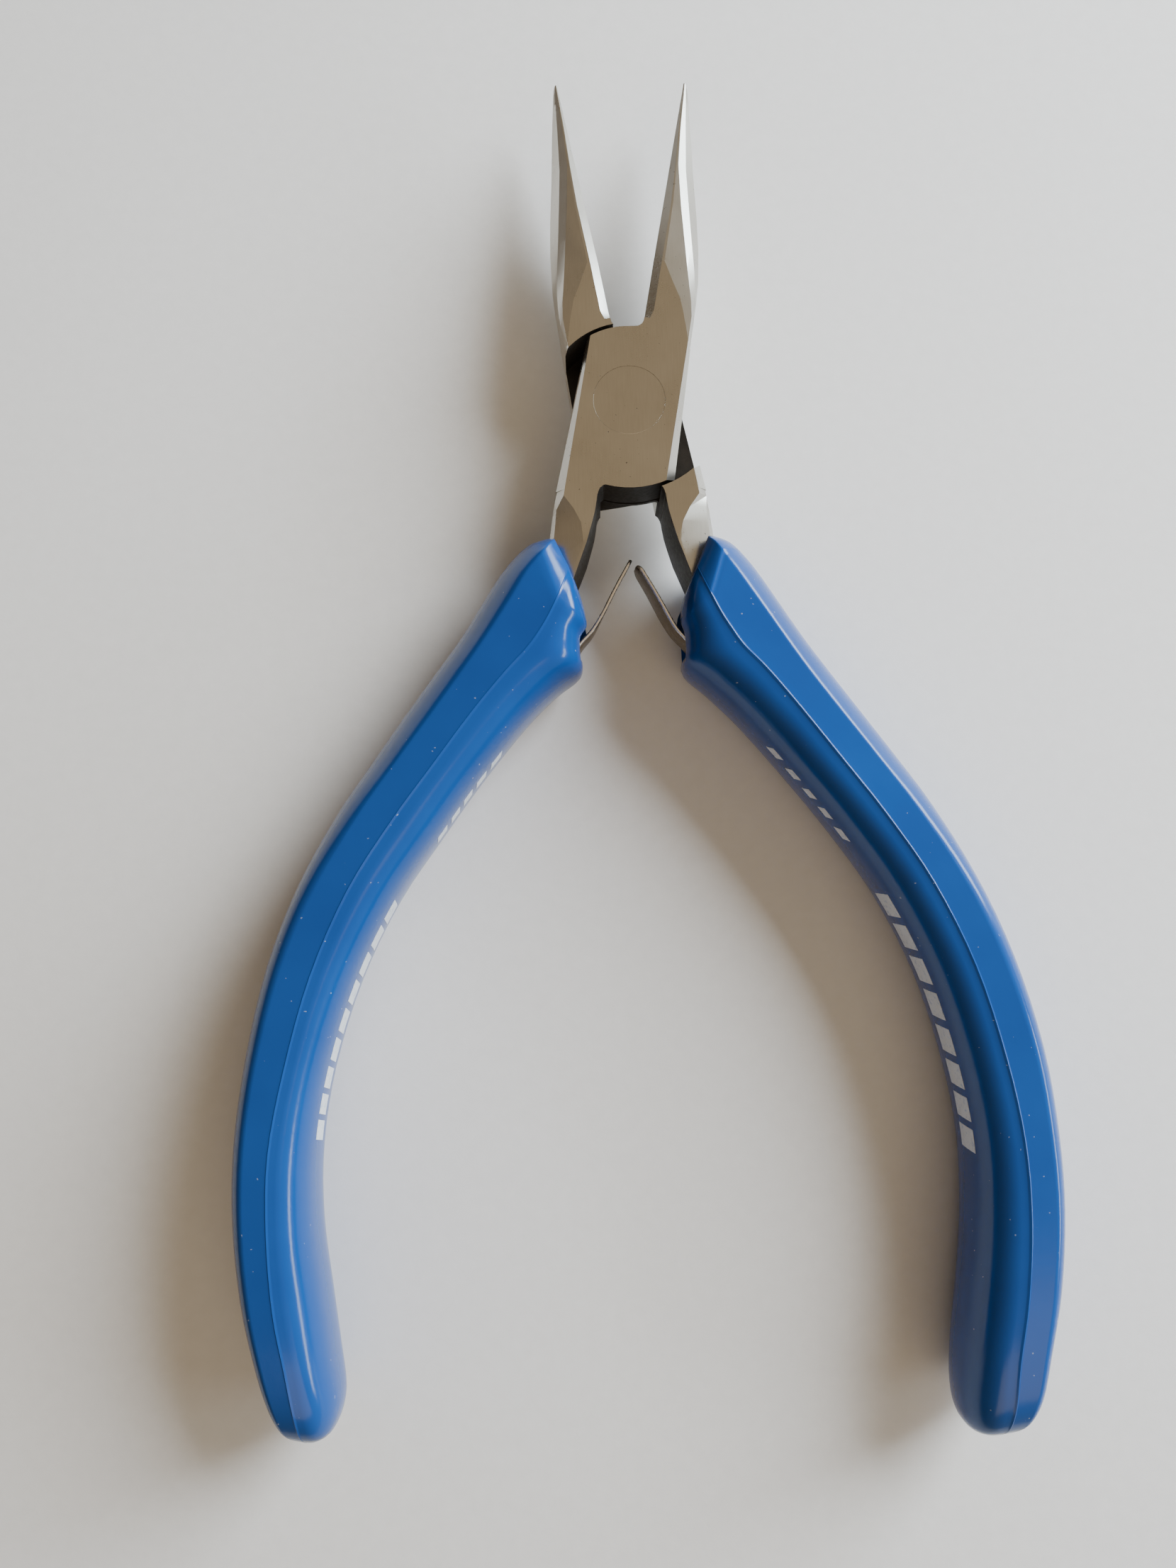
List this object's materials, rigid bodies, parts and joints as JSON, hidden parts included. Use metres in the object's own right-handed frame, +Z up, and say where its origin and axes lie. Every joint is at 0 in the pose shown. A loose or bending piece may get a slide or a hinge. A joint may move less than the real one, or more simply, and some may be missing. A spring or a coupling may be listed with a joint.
{
  "type": "jewellery pliers",
  "caption": "Slim-jawed jewellery pliers: lapped steel halves on a flush pivot rivet, opened by leaf springs, with bowed moulded plastic grips.",
  "frame": {"origin": "the middle of the bounding box's underside, on the surface that the grips rest on, with the jaws open", "axes": "+Y towards the jaw tips, +X towards the right-hand grip seen from above, +Z up through the joint's thickness"},
  "size_m": [0.072, 0.128, 0.012],
  "materials": {
    "satin_steel": "satin, fine grinding marks, black oxide left in the recesses",
    "rivet_steel": "satin, ground flush",
    "spring_steel": "bright rolled strip",
    "blue_grip": "semi-gloss moulded"
  },
  "bodies": {
    "rear_half_body": {"rear_half": "satin_steel", "pivot_rivet": "rivet_steel", "right_grip": "blue_grip", "right_spring_foot": "spring_steel", "right_spring_rivet": "rivet_steel"},
    "front_half_body": {"front_half": "satin_steel", "left_grip": "blue_grip", "left_spring_foot": "spring_steel", "left_spring_rivet": "rivet_steel"},
    "left_leaf": {"left_spring_blade": "spring_steel"},
    "right_leaf": {"right_spring_blade": "spring_steel"}
  },
  "joints": [
    {"name": "pivot", "type": "hinge", "parent": "rear_half_body", "child": "front_half_body", "pos_m": [0, 0.02853, 0.006], "axis": [0, 0, 1], "range_deg": [-12, 19.8], "stiffness_Nm_per_rad": 0.9},
    {"name": "left_spring_flex", "type": "hinge", "parent": "front_half_body", "child": "left_leaf", "pos_m": [-0.00561, 0.00505, 0.006], "axis": [0, 0, 1], "range_deg": [-10, 16.5]},
    {"name": "right_spring_flex", "type": "hinge", "parent": "rear_half_body", "child": "right_leaf", "pos_m": [0.00561, 0.00505, 0.006], "axis": [0, 0, 1], "range_deg": [-16.5, 10]}
  ],
  "couplings": [
    {"joint": "left_spring_flex", "follows": "pivot", "ratio": 0.81},
    {"joint": "right_spring_flex", "follows": "pivot", "ratio": -0.81}
  ]
}
